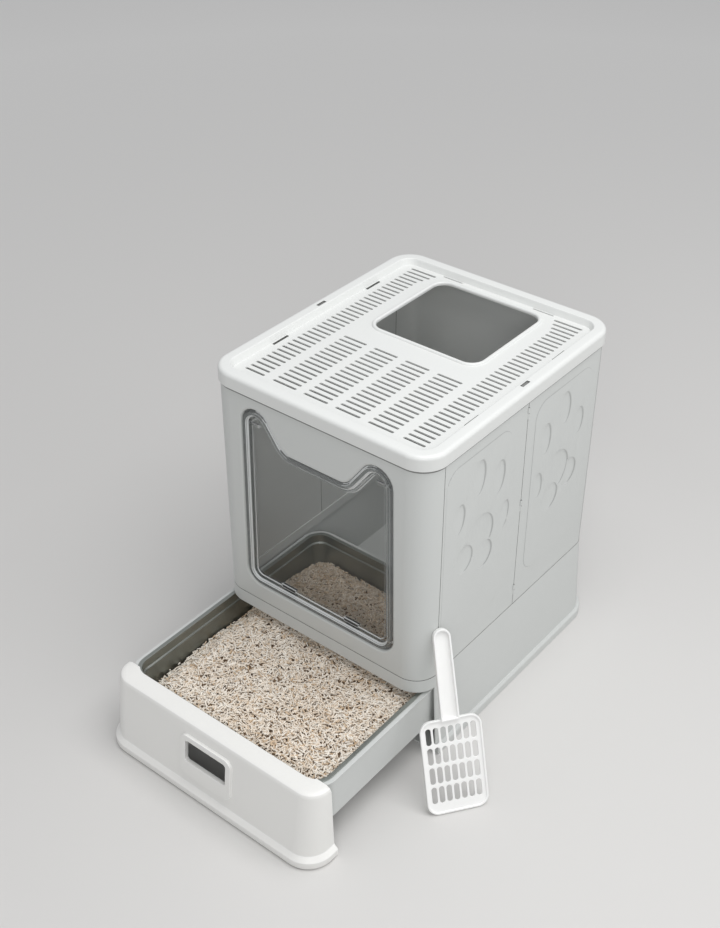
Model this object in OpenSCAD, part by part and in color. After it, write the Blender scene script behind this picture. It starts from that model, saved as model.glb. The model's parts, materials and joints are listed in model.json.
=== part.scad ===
/* [Housing] */
// Outside width over the wall panels
body_w = 365; // [340:1:390]
// Outside depth over the wall panels
body_d = 435; // [415:1:460]
// How far the side walls of the drawer bay stand back from the front
bay_back = 31; // [28:1:34]
// Radius of the four upright corners
corner_r = 36; // [30:1:42]
// Height of the base, up to the seam under the walls
base_h = 147; // [140:1:160]
// Height of the wall panels above the base
panel_h = 360.3; // [320:0.1:400]
// Thickness of the wall panels
wall_t = 3; // [2.5:0.1:3.5]
// Thickness of the side and back walls of the base
base_t = 2.2; // [1.8:0.1:2.6]
// Height of the rail over the drawer bay
rail_h = 21; // [18:0.5:26]
// Depth of that rail, front to back
rail_t = 4.5; // [4:0.1:6]
// How far the base walls lean out from their top to the floor
base_flare = 8; // [0:0.5:12]
// Height of the outer lip that locates the walls
lip_h = 4; // [3:0.5:6]
// Thickness of the outer lip
lip_t = 1.4; // [1:0.1:1.6]
// Thickness of the base floor
floor_t = 3; // [2:0.5:4]
// Height of the runner ribs on the base floor
runner_h = 5; // [3:0.5:8]
// Width of a runner rib
runner_w = 8; // [5:1:14]
// How far the foot skirt stands out
skirt_out = 4.5; // [3:0.5:9]
// Height of the foot skirt
skirt_h = 15; // [12:1:26]

/* [Folding walls] */
// How far the front panel wraps back round its corners
front_wrap = 35; // [30:0.5:45]
// How far the back panel wraps forward round its corners
back_wrap = 27.5; // [24:0.5:40]
// Gap at every upright seam
seam_gap = 0.3; // [0.2:0.05:0.6]
// Distance of the corner hinge axes in from the outer face
hinge_in = 5; // [4.5:0.1:6]
// Radius of the corner hinge knuckles
knuckle_r = 3; // [2.6:0.1:3.4]
// Radius of the corner hinge pins
corner_pin_r = 1.5; // [1:0.1:1.8]
// Radius of the knuckles along the side fold
fold_knuckle_r = 1.8; // [1.6:0.05:2]
// Radius of the side fold pins
fold_pin_r = 1; // [0.8:0.05:1.1]
// Length of one knuckle
knuckle_l = 9; // [8:1:24]
// Height of the lowest knuckle pair above the base
knuckle_lift = 24; // [18:1:40]

// Height of the raised field on each side wall
field_h = 0.6; // [0.3:0.1:1]
// Depth of the paw sunk into it
pad_h = 2.0; // [0.5:0.1:2.2]
// Distance of the front field behind the front seam
front_field_in = 4; // [3:1:20]
// Distance of the front field ahead of the fold
front_field_fold = 34; // [20:1:40]
// Distance of the rear field behind the fold
rear_field_fold = 20; // [10:1:30]
// Distance of the rear field ahead of the back seam
rear_field_in = 18; // [6:1:24]
// Distance of the field above the base
field_low = 44; // [30:1:60]
// Distance of the field below the top of the walls
field_high = 27; // [20:1:40]

/* [Lid] */
// How far the lid stands out past the walls
lid_lap = 2.5; // [2.5:0.1:4]
// Thickness of the lid skirt
lid_skirt_t = 2.2; // [1.6:0.1:2.2]
// How far the skirt hangs over the walls
lid_drop = 9.3; // [6:0.1:14]
// Width of the raised rim
lid_rim_w = 18; // [14:0.5:22]
// Depth of the dished top below the rim
lid_recess = 10; // [6:0.5:12]
// Thickness of the dished top
lid_t = 2.4; // [1.8:0.1:3]
// Radius of the rim's outer top edge
lid_edge_r = 6; // [3:0.5:8]
// Width of one louvre slot
louvre_w = 4; // [3:0.5:5]
// Pitch of the louvre rows
louvre_pitch = 10.5; // [9:0.5:12]
// Length of the slots in the two side columns
side_louvre_l = 34; // [24:1:36]
// Width of the plain strip outside the side columns
louvre_edge = 17.5; // [15:0.5:20]
// Width of the plain strips between the side and the middle columns
side_web = 15; // [10:0.5:18]
// Width of the plain strips between the four middle columns
louvre_web = 13; // [10:0.5:16]
// First louvre row, in from the front edge of the lid
louvre_start = 40; // [38:1:46]
// Plain part behind the last row of the side columns, from the back edge of the lid
louvre_end = 32; // [32:1:46]
// Plain part between the middle columns and the entry hole
hole_margin = 44; // [30:1:60]
// Distance of the latch slots from the dished top's side
latch_edge = 6; // [5:0.5:7]
// Distance of the front latch slots from the front edge of the lid
latch_front = 123.5; // [100:0.5:150]
// Distance of the back latch slots from the back edge of the lid
latch_back = 111; // [90:0.5:130]
// Width of the entry hole
hole_w = 178; // [150:1:190]
// Depth of the entry hole
hole_d = 170; // [140:1:176]
// Distance of the entry hole from the back edge of the lid
hole_back = 38; // [34:1:60]
// Corner radius of the entry hole
hole_r = 20; // [12:1:30]
// Width of the raised lip round the entry hole
hole_lip_w = 6; // [4:0.5:8]
// Height of that lip
hole_lip_h = 3; // [2:0.5:4]

/* [Door] */
// Width of the doorway outline at its foot
door_w = 273; // [250:1:280]
// Height of the doorway foot above the base
door_lift = 25; // [20:1:50]
// Distance from the doorway foot up to the notch between the ears
notch_h = 260; // [220:1:270]
// Half width of the notch, at the foot of the ears
notch_half = 50; // [40:1:60]
// Distance of the ear tips below the top of the walls
ear_drop = 25; // [18:0.5:40]
// Lean of the doorway's sides towards each other, in degrees
door_lean = 1; // [0:0.1:2]
// Radius of the ear tips
ear_r = 30; // [26:1:34]
// Radius of the doorway's lower corners
door_foot_r = 30; // [26:1:40]
// Radius of the notch corners
notch_r = 18; // [10:1:30]
// Radius of the rolled edge round the doorway
door_roll = 4; // [2:0.5:5]
// Depth of the collar behind that edge
door_collar = 10; // [7:0.5:12]
// Distance from the doorway outline to the inside of the clear frame
frame_w = 15; // [14:0.5:17]
// Thickness of the clear frame
frame_t = 9; // [8:0.5:10]
// How far the clear frame lies back from the face of the front panel
frame_back = 2.5; // [1:0.1:3]
// Height of the bead on the front of the frame
frame_bead = 2.5; // [1:0.5:4]
// Depth and width of the rebate round the back of the frame's opening
rebate = 2.5; // [2:0.1:3]
// Distance of the frame's bead from its edges
bead_in = 2; // [1:0.1:3]
// Running gap between flap and frame
flap_gap = 2; // [1.5:0.1:2.2]
// Thickness of the flap
flap_t = 3; // [2:0.5:4]
// Thickness of the flap's rim
flap_rim_t = 5; // [4.5:0.5:6]
// Width of the flap's rim
flap_rim_w = 3.3; // [2:0.1:5]
// Radius of the door pins
door_pin_r = 1.5; // [1:0.1:1.8]

/* [Drawer] */
// How far the drawer stands open
drawer_out = 222; // [0:1:260]
// Height of the drawer front
front_top = 125.5; // [110:0.5:125.5]
// Gap under the drawer front
front_gap = 0.6; // [0.4:0.1:2]
// How far the drawer front's face stands ahead of the housing
front_ahead = 5.5; // [4:0.5:12]
// How far the face leans out at its foot
front_lean = 12; // [4:0.5:16]
// How far the ends of the front stand out past the housing
front_side = 4; // [2.5:0.5:8]
// How far the ends lean out at their foot
front_side_lean = 3; // [0:0.5:8]
// Thickness of the drawer front
front_t = 3; // [2:0.5:4]
// Space from the face of the front back to the drawer frame
front_room = 18.5; // [16:0.5:24]
// Corner radius of the drawer front at its top
front_r = 30; // [26:1:36]
// Corner radius of the drawer front at its foot
front_foot_r = 34; // [30:1:40]
// Corner radius of the foot bead
bead_r = 40; // [34:1:44]
// Radius of the front's rounded top edge
front_edge_r = 9; // [5:0.5:10]
// Height of the foot bead
bead_h = 19; // [14:1:26]
// How far the foot bead stands out
bead_out = 6.5; // [3:0.5:8]
// Gap between the ends of the front and the base walls when shut
front_end_gap = 2.5; // [1:0.5:5]
// Width of the handle slot
handle_w = 74; // [60:1:90]
// Height of the handle slot
handle_h = 36; // [26:1:42]
// Height of the slot's middle above the floor
handle_z = 78; // [70:1:82]
// Width of the raised frame round the slot
handle_rim = 9; // [6:1:12]
// Height of that frame's foot below the slot
handle_foot = 24; // [12:1:28]
// How far that frame stands out
handle_out = 3.5; // [2:0.5:5]
// Clearance between the drawer and the base walls
drawer_gap = 0.7; // [0.5:0.1:1.5]
// Wall thickness of the drawer frame
tray_t = 2.5; // [2:0.5:3]
// How far the drawer frame's wall steps in under its flange
tray_step = 2; // [1.5:0.5:3]
// Width of the drawer frame's top flange
tray_flange = 7.6; // [6:0.1:9]
// Height of the drawer frame's rim
tray_top = 121; // [100:0.5:121]
// Thickness of the steel pan
pan_t = 1.2; // [1:0.1:1.6]
// Draft of the pan walls from rim to floor
pan_draft = 8; // [4:0.5:12]
// Distance of the shoulder in the pan's wall below its rim
pan_shoulder = 15; // [10:1:20]
// Width of that shoulder
pan_step = 2; // [1:0.1:3]
// Depth of the pan
pan_h = 95; // [70:1:98]
// Gap between the drawer frame's edge and the pan's rim
pan_in = 5.6; // [4.5:0.1:6.5]
// Width of the pan's rim
pan_rim = 6; // [4:0.5:8]
// Height of the litter at its top, above the pan floor
litter_h = 80; // [50:1:88]
// Rise and fall of the heap's top
litter_roll = 6; // [0:0.5:10]
// Height of the litter at the left and back walls of the pan
litter_wall = 52; // [20:1:70]
// Strip at the left of the pan that the heap leaves free, at its top
litter_left = 40; // [20:1:80]
// Strip at the back of the pan that the heap leaves free, at its top
litter_back = 42; // [30:1:120]

/* [Scoop] */
// Width of the scoop blade
blade_w = 87; // [82:1:96]
// Length of the scoop blade
blade_l = 134; // [130:1:140]
// Thickness of the blade
blade_t = 2.4; // [2:0.1:3]
// Corner radius of the blade
blade_r = 16; // [10:1:20]
// Height of the blade's raised rim
blade_rim = 5; // [3:0.5:7]
// Width of that rim
blade_rim_w = 2.5; // [1.5:0.5:3]
// Length of the whole scoop
scoop_l = 260; // [240:1:280]
// Width of the handle at its top
grip_w = 24; // [20:1:28]
// Width of the handle at the blade
neck_w = 26; // [24:1:32]
// Thickness of the handle
grip_t = 8; // [6:0.5:10]
// Thickness of the walls of its hollow
grip_wall = 2.5; // [2:0.1:4]
// Slots across the blade
sieve_cols = 7; // [4:1:7]
// Slots along the blade
sieve_rows = 4; // [2:1:4]
// Width of a sieve slot
sieve_w = 7.6; // [5:0.2:8]
// Length of a sieve slot
sieve_l = 24; // [12:1:25]
// Distance between the slots across the blade
sieve_step = 10.6; // [9.5:0.1:11]
// Distance between the slots along the blade
sieve_rise = 28; // [27:0.5:29]
// Lean of the scoop away from upright
scoop_lean = 25; // [18:1:30]
// Direction that the scoop leans towards
scoop_turn = 54; // [50:1:60]
// How far round the corner the handle rests
scoop_rest = 15.5; // [10:0.5:20]

/* [Hidden] */
$fn = 64;
gap = 0.3;
far = 600;

half_w = body_w / 2;
half_d = body_d / 2;
wall_z = base_h - lip_h + gap;
wall_top = base_h + panel_h;
bay_top = base_h - rail_h;
bay_front = -half_d + bay_back;

// Upright hinge lines, seen from above: the fold line is midway between the corner lines.
front_seam = -half_d + front_wrap;
back_seam = half_d - back_wrap;
fold_seam = (front_seam + back_seam) / 2;
corner_x = half_w - hinge_in;
knuckle_span = panel_h - 2 * knuckle_lift - knuckle_l;
knuckle_z = [for (i = [0:2]) base_h + knuckle_lift + knuckle_l / 2 + i * knuckle_span / 2];

lid_w = body_w + 2 * lid_lap;
lid_d = body_d + 2 * lid_lap;
lid_r = corner_r + lid_lap;
lid_under = wall_top + gap;
lid_floor = lid_under + lid_t;
lid_top = lid_floor + lid_recess;
lid_foot = wall_top - lid_drop;
hole_y = lid_d / 2 - hole_back - hole_d / 2;

// The louvres fill the dished top: two side columns and four middle ones, as many rows as fit.
louvre_out = lid_w / 2 - lid_rim_w - louvre_edge;
louvre_l = (2 * (louvre_out - side_louvre_l - side_web) - 3 * louvre_web) / 4;
side_rows = floor((lid_d - louvre_start - louvre_end) / louvre_pitch) + 1;
middle_rows = floor((lid_d - louvre_start - hole_margin - hole_d - hole_back) / louvre_pitch) + 1;

door_foot = base_h + door_lift;
notch_z = door_foot + notch_h;
frame_front = -half_d + frame_back;
flap_y = frame_front + frame_t / 2;
// The door's pins lie level with the centres of the round ear tips.
function door_side(z) = door_w / 2 - (z - door_foot) * tan(door_lean);
ear = [door_side(wall_top - ear_drop - ear_r) - ear_r / cos(door_lean), wall_top - ear_drop - ear_r];
door_pin_z = ear[1];
ear_reach = ear - [notch_half, notch_z];
ear_slope = atan2(ear_reach[1], ear_reach[0]) + asin(ear_r / norm(ear_reach));
ear_l = (door_side(notch_z) - notch_half) / (cos(ear_slope) + sin(ear_slope) * tan(door_lean));
ear_corner = [notch_half, notch_z] + ear_l * [cos(ear_slope), sin(ear_slope)];
door_corners = [
    [-door_w / 2, door_foot], [door_w / 2, door_foot], ear_corner, [notch_half, notch_z],
    [-notch_half, notch_z], [-ear_corner[0], ear_corner[1]]
];
door_radii = [door_foot_r, door_foot_r, ear_r, notch_r, notch_r, ear_r];

// The drawer runs between the base walls, which come closest to it at their top.
tray_half = half_w - base_t - drawer_gap;
tray_r = corner_r - base_t - drawer_gap;
tray_z = floor_t + runner_h + gap;
front_y = -half_d - front_ahead;
front_half = half_w + front_side;
front_end = bay_front - front_end_gap;
tray_front = front_y + front_room;
tray_back = half_d - base_t - drawer_gap - gap;
tray_d = tray_back - tray_front;
tray_y = (tray_back + tray_front) / 2;
pan_half = tray_half - pan_in - pan_rim + pan_t;
pan_d = tray_d - 2 * (pan_in + pan_rim - pan_t);
pan_r = tray_r - pan_in - pan_rim + pan_t;
pan_floor = tray_top + pan_t - pan_h;
lean_angle = atan(front_lean / (front_top - bead_h));

function unit(v) = v / norm(v);
function arc(c, r, a0, a1, n) =
    [for (i = [0:n]) let (a = a0 + (a1 - a0) * i / n) c + r * [cos(a), sin(a)]];
function left_of(a, b) = let (u = unit(b - a)) [-u[1], u[0]];
function turns_left(a, b, c) = (b[0] - a[0]) * (c[1] - b[1]) > (b[1] - a[1]) * (c[0] - b[0]);

// A corner moved in by d, and the same corner rounded.
function inset_corner(a, b, c, d) =
    let (m = left_of(a, b), n = left_of(b, c)) b + d * (m + n) / (1 + m * n);
function round_corner(a, b, c, r, n) =
    let (u = unit(a - b), v = unit(c - b), half = acos(u * v) / 2,
         centre = b + unit(u + v) * r / sin(half),
         p = b + u * r / tan(half) - centre, q = b + v * r / tan(half) - centre,
         a0 = atan2(p[1], p[0]), a1 = atan2(q[1], q[0]),
         sweep = (a1 - a0 + 540) % 360 - 180)
    arc(centre, r, a0, a0 + sweep, n);

// The cat-head doorway, moved in by d all round.
function door_outline(d) =
    let (c = door_corners, k = len(c),
         moved = [for (i = [0:k - 1]) inset_corner(c[(i + k - 1) % k], c[i], c[(i + 1) % k], d)])
    [for (i = [0:k - 1])
        let (a = moved[(i + k - 1) % k], b = moved[i], e = moved[(i + 1) % k],
             r = door_radii[i] + (turns_left(a, b, e) ? -d : d))
        for (p = round_corner(a, b, e, r, 8)) p];

module rounded_rect(w, d, r) {
    square([w, d - 2 * r], center = true);
    square([w - 2 * r, d], center = true);
    for (sx = [-1, 1], sy = [-1, 1])
        translate([sx * (w / 2 - r), sy * (d / 2 - r)]) circle(r);
}

// Sweeps a profile round a rounded rectangle: x is the distance from a corner's centre, y the height.
module around_rect(w, d, r) {
    for (k = [0:3]) {
        long = k % 2 == 0 ? d - 2 * r : w - 2 * r;
        half = k % 2 == 0 ? w / 2 - r : d / 2 - r;
        rotate(90 * k) {
            translate([half, long / 2, 0]) rotate_extrude(angle = 90) children();
            translate([half, long / 2, 0]) rotate([90, 0, 0]) linear_extrude(long) children();
        }
    }
}

// Stands an outline up in the plane of the front, with its back at y.
module upright(y, t) translate([0, y, 0]) rotate([90, 0, 0]) linear_extrude(t) children();

module slot(l, w) {
    square([l - w, w], center = true);
    for (s = [-1, 1]) translate([s * (l - w) / 2, 0]) circle(w / 2, $fn = 24);
}

module both_sides() for (s = [0, 1]) mirror([s, 0, 0]) children();

// How far the base wall has leaned out at a height.
function flare(z) = base_flare * (1 - z / base_h);

module base_wall_profile() {
    polygon([
        [corner_r + flare(0) - base_t, 0], [corner_r + flare(0), 0],
        [corner_r + flare(bay_top), bay_top], [corner_r + flare(bay_top) - base_t, bay_top]]);
    edge = skirt_out - 1;
    polygon(concat(
        [[corner_r + flare(0) - 1, 0], [corner_r + flare(0) + skirt_out, 0]],
        arc([corner_r + flare(0) + skirt_out - edge, skirt_h - edge], edge, 0, 90, 6),
        [[corner_r + flare(skirt_h) - 1, skirt_h]]));
}

module base_rail_profile() polygon([
    [corner_r - rail_t, bay_top], [corner_r + flare(bay_top), bay_top], [corner_r, base_h],
    [corner_r - lip_t, base_h], [corner_r - lip_t, base_h - lip_h], [corner_r - rail_t, base_h - lip_h]]);

module base_housing() color([0.80, 0.81, 0.81]) {
    difference() {
        union() {
            around_rect(body_w, body_d, corner_r) base_wall_profile();
            linear_extrude(floor_t) let (out = flare(0) - base_t / 2)
                rounded_rect(body_w + 2 * out, body_d + 2 * out, corner_r + out);
        }
        translate([-far / 2, bay_front - far, -1]) cube([far, far, far]);
    }
    around_rect(body_w, body_d, corner_r) base_rail_profile();
    for (x = [-body_w / 3, 0, body_w / 3])
        translate([x - runner_w / 2, bay_front, floor_t])
            cube([runner_w, half_d - base_t - bay_front, runner_h]);
}

// The four walls as one ring, before the seams part them.
module wall_ring() difference() {
    union() {
        translate([0, 0, base_h + gap]) linear_extrude(panel_h - gap)
            rounded_rect(body_w, body_d, corner_r);
        translate([0, 0, wall_z]) linear_extrude(lip_h)
            rounded_rect(body_w - 2 * (lip_t + gap), body_d - 2 * (lip_t + gap),
                corner_r - lip_t - gap);
    }
    translate([0, 0, wall_z - 1]) linear_extrude(far)
        rounded_rect(body_w - 2 * wall_t, body_d - 2 * wall_t, corner_r - wall_t);
}

module wall_between(y0, y1) intersection() {
    wall_ring();
    translate([-far / 2, y0, 0]) cube([far, y1 - y0, far]);
}

module right_wall(y0, y1) intersection() {
    wall_ring();
    translate([0, y0, 0]) cube([far, y1 - y0, far]);
}

// One knuckle of each pair: side -1 is the lower one, side 1 the upper one.
module knuckles(x, y, side, r, bore) for (z = knuckle_z)
    translate([x, y, z + side * (knuckle_l + gap) / 2 - knuckle_l / 2]) difference() {
        cylinder(h = knuckle_l, r = r);
        translate([0, 0, -1]) cylinder(h = knuckle_l + 2, r = bore);
    }

module knuckle_room(x, y, side, r) for (z = knuckle_z)
    translate([x, y, z + side * (knuckle_l + gap) / 2 - knuckle_l / 2 - gap])
        cylinder(h = knuckle_l + 2 * gap, r = r + gap);

module pins(x, y, r) for (z = knuckle_z)
    translate([x, y, z - knuckle_l - gap / 2]) cylinder(h = 2 * knuckle_l + gap, r = r);

run = 0.05;

// The doorway with its rolled edge: rings of the outline, each at its depth behind the face.
module doorway_cut() {
    steps = 4;
    rings = concat(
        [[-1, -1]],
        [for (i = [0:steps]) let (t = 90 * i / steps) [door_roll * (1 - cos(t)), door_roll * sin(t)]],
        [[door_collar + 1, door_roll]]);
    n = len(door_outline(0));
    points = [for (ring = rings) for (p = door_outline(ring[1])) [p[0], -half_d + ring[0], p[1]]];
    last = len(rings) - 1;
    polyhedron(points, concat(
        [[for (i = [n - 1:-1:0]) i]],
        [for (k = [0:last - 1], i = [0:n - 1]) let (j = (i + 1) % n)
            each [[k * n + i, k * n + j, (k + 1) * n + j], [k * n + i, (k + 1) * n + j, (k + 1) * n + i]]],
        [[for (i = [0:n - 1]) last * n + i]]));
}

module front_panel() color([0.72, 0.73, 0.72]) {
    difference() {
        union() {
            wall_between(-half_d - 1, front_seam - seam_gap / 2);
            upright(-half_d + door_collar, door_collar) polygon(door_outline(-1));
        }
        doorway_cut();
        both_sides() knuckle_room(corner_x, front_seam, 1, knuckle_r);
        both_sides() for (side = [-1, 1]) pin_way(corner_x, front_seam, side, corner_pin_r);
    }
    both_sides() knuckles(corner_x, front_seam, -1, knuckle_r, corner_pin_r);
}

module pin_way(x, y, side, r) for (z = knuckle_z)
    translate([x, y, z + side * (knuckle_l + gap) / 2 - knuckle_l / 2 - gap])
        cylinder(h = knuckle_l + 2 * gap, r = r);

module door_frame() color([0.75, 0.78, 0.79]) difference() {
    union() {
        upright(frame_front + frame_t, frame_t) polygon(door_outline(door_roll + gap));
        upright(frame_front, frame_bead) difference() {
            polygon(door_outline(door_roll + gap + bead_in));
            polygon(door_outline(frame_w - bead_in));
        }
    }
    upright(half_d, far) polygon(door_outline(frame_w));
    upright(half_d, half_d - frame_front - frame_t + rebate) polygon(door_outline(frame_w - rebate));
    both_sides() door_pin(door_pin_r + run);
    magnet_blocks(magnet_frame_z);
}

magnet_l = 24;
magnet_h = 4;
magnet_t = 5;
magnet_x = 57;
magnet_wall = 1.2;
magnet_frame_z = door_foot + frame_w - rebate - magnet_wall - magnet_h;
magnet_flap_z = door_foot + frame_w + flap_gap + magnet_wall;

module magnet_blocks(z) both_sides()
    translate([magnet_x - magnet_l / 2, flap_y - magnet_t / 2, z]) cube([magnet_l, magnet_t, magnet_h]);

module frame_magnets() color([0.25, 0.25, 0.26]) magnet_blocks(magnet_frame_z);
module flap_magnets() color([0.25, 0.25, 0.26]) magnet_blocks(magnet_flap_z);

door_pin_in = 14;
door_pin_out = 8;
pin_boss_t = 1.7;
pin_boss_end = 1;

door_pin_x = door_side(door_pin_z) - frame_w - flap_gap - door_pin_in;

module door_pin(r) translate([door_pin_x, flap_y, door_pin_z]) rotate([0, 90, 0])
    cylinder(h = door_pin_in + flap_gap + door_pin_out, r = r);

module door_flap() color([0.60, 0.63, 0.63]) difference() {
    union() {
        upright(flap_y + flap_t / 2, flap_t) polygon(door_outline(frame_w + flap_gap));
        upright(flap_y + flap_rim_t / 2, flap_rim_t) difference() {
            polygon(door_outline(frame_w + flap_gap));
            polygon(door_outline(frame_w + flap_gap + flap_rim_w));
        }
        both_sides() translate([door_pin_x - pin_boss_end, flap_y, door_pin_z]) rotate([0, 90, 0])
            cylinder(h = door_pin_in + pin_boss_end - gap, r = door_pin_r + pin_boss_t);
        translate([0, flap_y, magnet_flap_z + magnet_h / 2])
            both_sides() translate([magnet_x, 0, 0])
                cube([magnet_l + 2 * magnet_wall, flap_rim_t, magnet_h + 2 * magnet_wall], center = true);
    }
    both_sides() door_pin(door_pin_r);
    magnet_blocks(magnet_flap_z);
}

module door_pins() color([0.78, 0.78, 0.78]) both_sides() door_pin(door_pin_r);

// The right-hand half walls; the left ones are their mirror.
module front_half() difference() {
    union() {
        difference() {
            union() {
                right_wall(front_seam + seam_gap / 2, fold_seam - seam_gap / 2);
                on_field(front_seam + front_field_in, fold_seam - front_field_fold) side_field(front_field_w);
            }
            on_field(front_seam + front_field_in, fold_seam - front_field_fold) paw(front_toes, -paw_turn);
            knuckle_room(corner_x, front_seam, -1, knuckle_r);
            knuckle_room(half_w, fold_seam, 1, fold_knuckle_r);
        }
        knuckles(corner_x, front_seam, 1, knuckle_r, corner_pin_r + run);
        knuckles(half_w, fold_seam, -1, fold_knuckle_r, fold_pin_r);
    }
    pin_way(corner_x, front_seam, 1, corner_pin_r + run);
    pin_way(half_w, fold_seam, -1, fold_pin_r);
}

module rear_half() difference() {
    union() {
        difference() {
            union() {
                right_wall(fold_seam + seam_gap / 2, back_seam - seam_gap / 2);
                on_field(fold_seam + rear_field_fold, back_seam - rear_field_in) side_field(rear_field_w);
            }
            on_field(fold_seam + rear_field_fold, back_seam - rear_field_in) paw(rear_toes, paw_turn);
            knuckle_room(corner_x, back_seam, 1, knuckle_r);
            knuckle_room(half_w, fold_seam, -1, fold_knuckle_r);
        }
        knuckles(corner_x, back_seam, -1, knuckle_r, corner_pin_r);
        knuckles(half_w, fold_seam, 1, fold_knuckle_r, fold_pin_r + run);
    }
    pin_way(corner_x, back_seam, -1, corner_pin_r);
    pin_way(half_w, fold_seam, 1, fold_pin_r + run);
}

// A field raised on a half wall, between two seams and clear of them by its margins, and the paw sunk in it.
paw_pad = [[0, 18, 32], [-25, -14, 21], [25, -14, 21]];
front_toes = [[-1, 114, 27, 52, -6], [46, 89, 27, 50, -8], [-43, 71, 24, 44, -8], [65, 17, 22, 42, -10]];
rear_toes = [[4, 117, 27, 50, 4], [45, 76, 24, 42, 0], [-42, 89, 24, 48, 0], [-54, 17, 22, 40, 4]];
front_field_w = fold_seam - front_field_fold - front_seam - front_field_in;
rear_field_w = back_seam - rear_field_in - fold_seam - rear_field_fold;
field_hgt = wall_top - field_high - base_h - field_low;
field_r = 26;
field_slope = 0.986;
paw_down = 15;
paw_turn = 22;
dent_lean = 25;
dent_deep = 4;
dent_open = 2.4;
dent_middle = 0.46;

// Places its children on the outer face, at the middle of a field from y0 to y1.
module on_field(y0, y1) translate([half_w, (y0 + y1) / 2, base_h + field_low + field_hgt / 2])
    rotate([90, 0, 90]) children();

module side_field(w) translate([0, 0, -1])
    linear_extrude(field_h + 1, scale = field_slope) rounded_rect(w, field_hgt, field_r, $fn = 48);

// An oval dent with a slanting floor: level with the field at the lower front, deepest at the upper back.
module dent(w, h, turn) translate([0, 0, field_h - pad_h * dent_middle]) rotate(dent_lean)
    rotate([0, atan(pad_h / norm([w * cos(dent_lean), h * sin(dent_lean)])), 0]) rotate(turn - dent_lean)
        linear_extrude(dent_deep, scale = 1 + 2 * dent_open / w)
            polygon([for (a = [0:9:351]) [w / 2 * cos(a), h / 2 * sin(a)]]);

module paw(toes, turn) translate([0, -paw_down, 0]) {
    for (lobe = paw_pad) rotate(turn) translate([lobe[0], lobe[1]]) rotate(-turn)
        dent(2 * lobe[2], 2 * lobe[2], 0);
    for (t = toes) translate([t[0], t[1]]) dent(t[2], t[3], t[4]);
}

module left_front_side() color([0.79, 0.80, 0.79]) mirror([1, 0, 0]) front_half();
module left_rear_side() color([0.79, 0.80, 0.79]) mirror([1, 0, 0]) rear_half();
module right_front_side() color([0.79, 0.80, 0.79]) front_half();
module right_rear_side() color([0.79, 0.80, 0.79]) rear_half();

module back_panel() color([0.72, 0.73, 0.72]) {
    difference() {
        wall_between(back_seam + seam_gap / 2, half_d + 1);
        both_sides() knuckle_room(corner_x, back_seam, -1, knuckle_r);
        both_sides() pin_way(corner_x, back_seam, 1, corner_pin_r + run);
    }
    both_sides() knuckles(corner_x, back_seam, 1, knuckle_r, corner_pin_r + run);
}

module left_corner_pins() color("silver") mirror([1, 0, 0]) pins(corner_x, front_seam, corner_pin_r);
module right_corner_pins() color("silver") pins(corner_x, front_seam, corner_pin_r);
module left_fold_pins() color("silver") mirror([1, 0, 0]) pins(half_w, fold_seam, fold_pin_r);
module right_fold_pins() color("silver") pins(half_w, fold_seam, fold_pin_r);
module left_back_pins() color("silver") mirror([1, 0, 0]) pins(corner_x, back_seam, corner_pin_r);
module right_back_pins() color("silver") pins(corner_x, back_seam, corner_pin_r);

// The rim's inner edge is rounded, and its inner side slopes down to the dished top.
lid_inner_r = 2;
lid_slope = 3;

module lid_rim_profile() {
    in = lid_r - lid_rim_w;
    polygon(concat(
        [[lid_r, lid_foot]],
        arc([lid_r - lid_edge_r, lid_top - lid_edge_r], lid_edge_r, 0, 90, 6),
        arc([in + lid_inner_r, lid_top - lid_inner_r], lid_inner_r, 90, 180, 3),
        [[in - lid_slope, lid_floor], [in - lid_slope, lid_under],
         [lid_r - lid_skirt_t, lid_under], [lid_r - lid_skirt_t, lid_foot]]));
}

module hole_lip_profile() polygon(concat(
    [[hole_r, lid_under]],
    [[hole_r + hole_lip_w, lid_under]],
    arc([hole_r + hole_lip_w / 2, lid_floor + hole_lip_h - hole_lip_w / 2], hole_lip_w / 2, 0, 180, 8)));

// The last rows of the side columns grow longer towards the middle.
growing_rows = 3;
louvre_growth = 4;

module louvres() {
    first = -lid_d / 2 + louvre_start;
    for (row = [0:middle_rows - 1], col = [0:3])
        translate([(col - 1.5) * (louvre_l + louvre_web), first + row * louvre_pitch])
            slot(louvre_l, louvre_w);
    for (row = [0:side_rows - 1], side = [-1, 1]) {
        long = side_louvre_l + max(0, row + 1 + growing_rows - side_rows) * louvre_growth;
        translate([side * (louvre_out - long / 2), first + row * louvre_pitch]) slot(long, louvre_w);
    }
}

latch_l = 31;
latch_w = 4;
tab_l = 35;
tab_w = 2.5;
tab_in = 10;
tab_edge = 5;

module latch_slots() both_sides() {
    for (y = [latch_front - lid_d / 2, lid_d / 2 - latch_back])
        translate([lid_w / 2 - lid_rim_w - latch_edge, y]) square([latch_w, latch_l], center = true);
    translate([hole_w / 2 - tab_in, lid_d / 2 - lid_rim_w - tab_edge])
        square([tab_l, tab_w], center = true);
}

grip_notch_l = 17;
grip_notch_w = 5;
grip_notch_deep = 2.5;
grip_notch_in = 12;
grip_notch_y = 5;

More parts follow.
